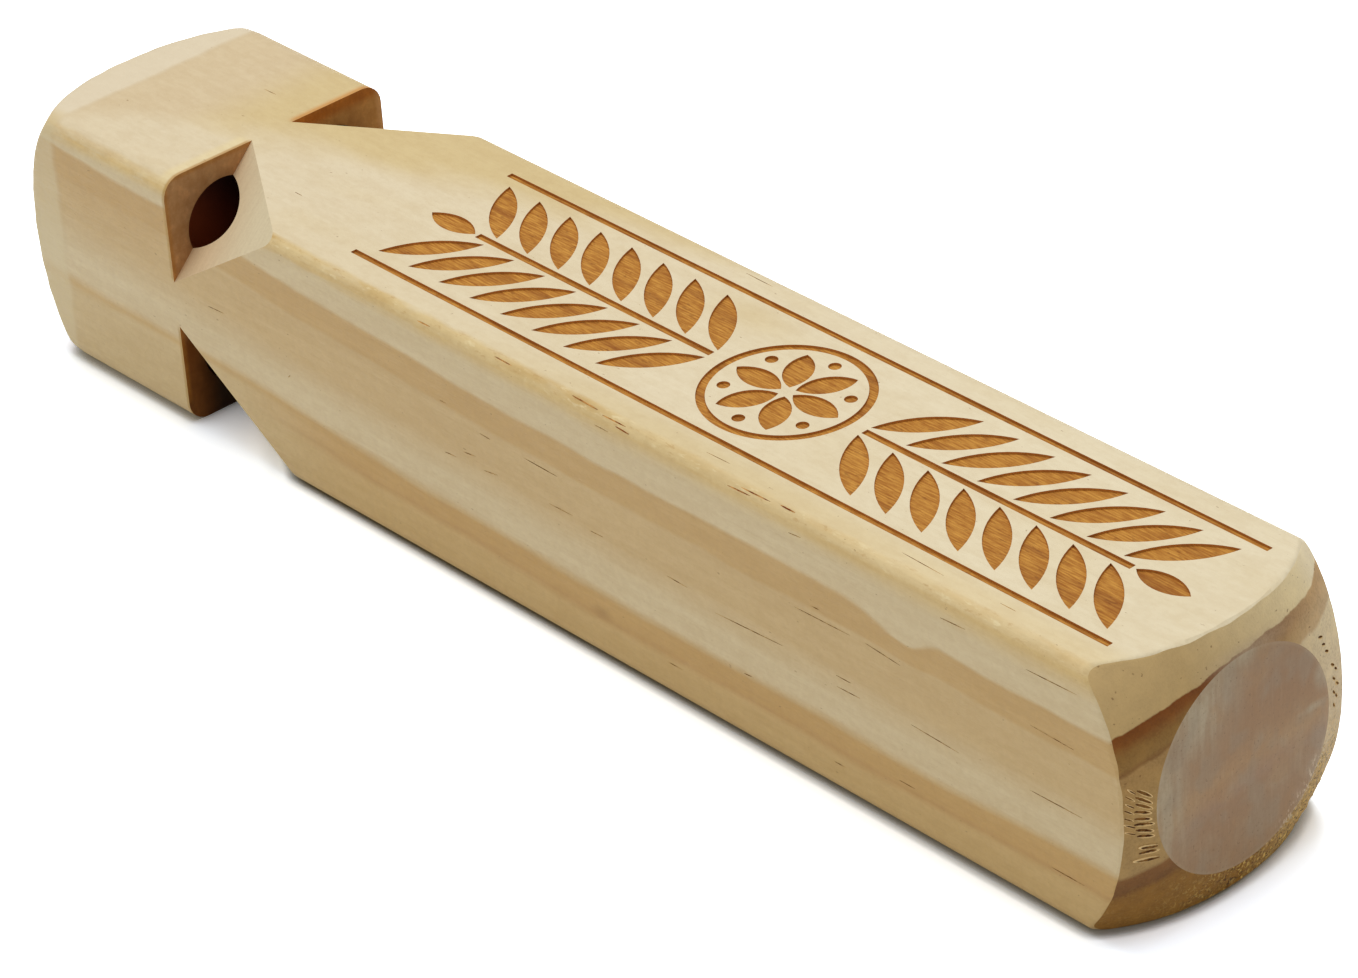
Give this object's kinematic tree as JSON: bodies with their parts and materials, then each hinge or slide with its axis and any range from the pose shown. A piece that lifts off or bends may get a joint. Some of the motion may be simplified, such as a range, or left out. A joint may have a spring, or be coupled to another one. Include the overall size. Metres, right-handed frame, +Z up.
{
  "type": "train whistle",
  "caption": "Square pine block with rounded ends and a pipe of its own length bored beside each long edge, sounded through corner notches; blown from one end for a chord.",
  "frame": {"origin": "under the middle of the block, on the surface it lies on", "axes": "+X from the mouth end to the closed end, +Z up through the engraved face, +Y to the left of someone who blows it"},
  "size_m": [0.1954, 0.035, 0.035],
  "materials": {
    "pine_block": "bare sanded pine",
    "dowel": "bare dowel, end grain"
  },
  "bodies": {
    "root": {"whistle_body": "pine_block", "fipple_plug_upper_left": "dowel", "fipple_plug_upper_right": "dowel", "fipple_plug_lower_right": "dowel", "fipple_plug_lower_left": "dowel"}
  },
  "joints": []
}
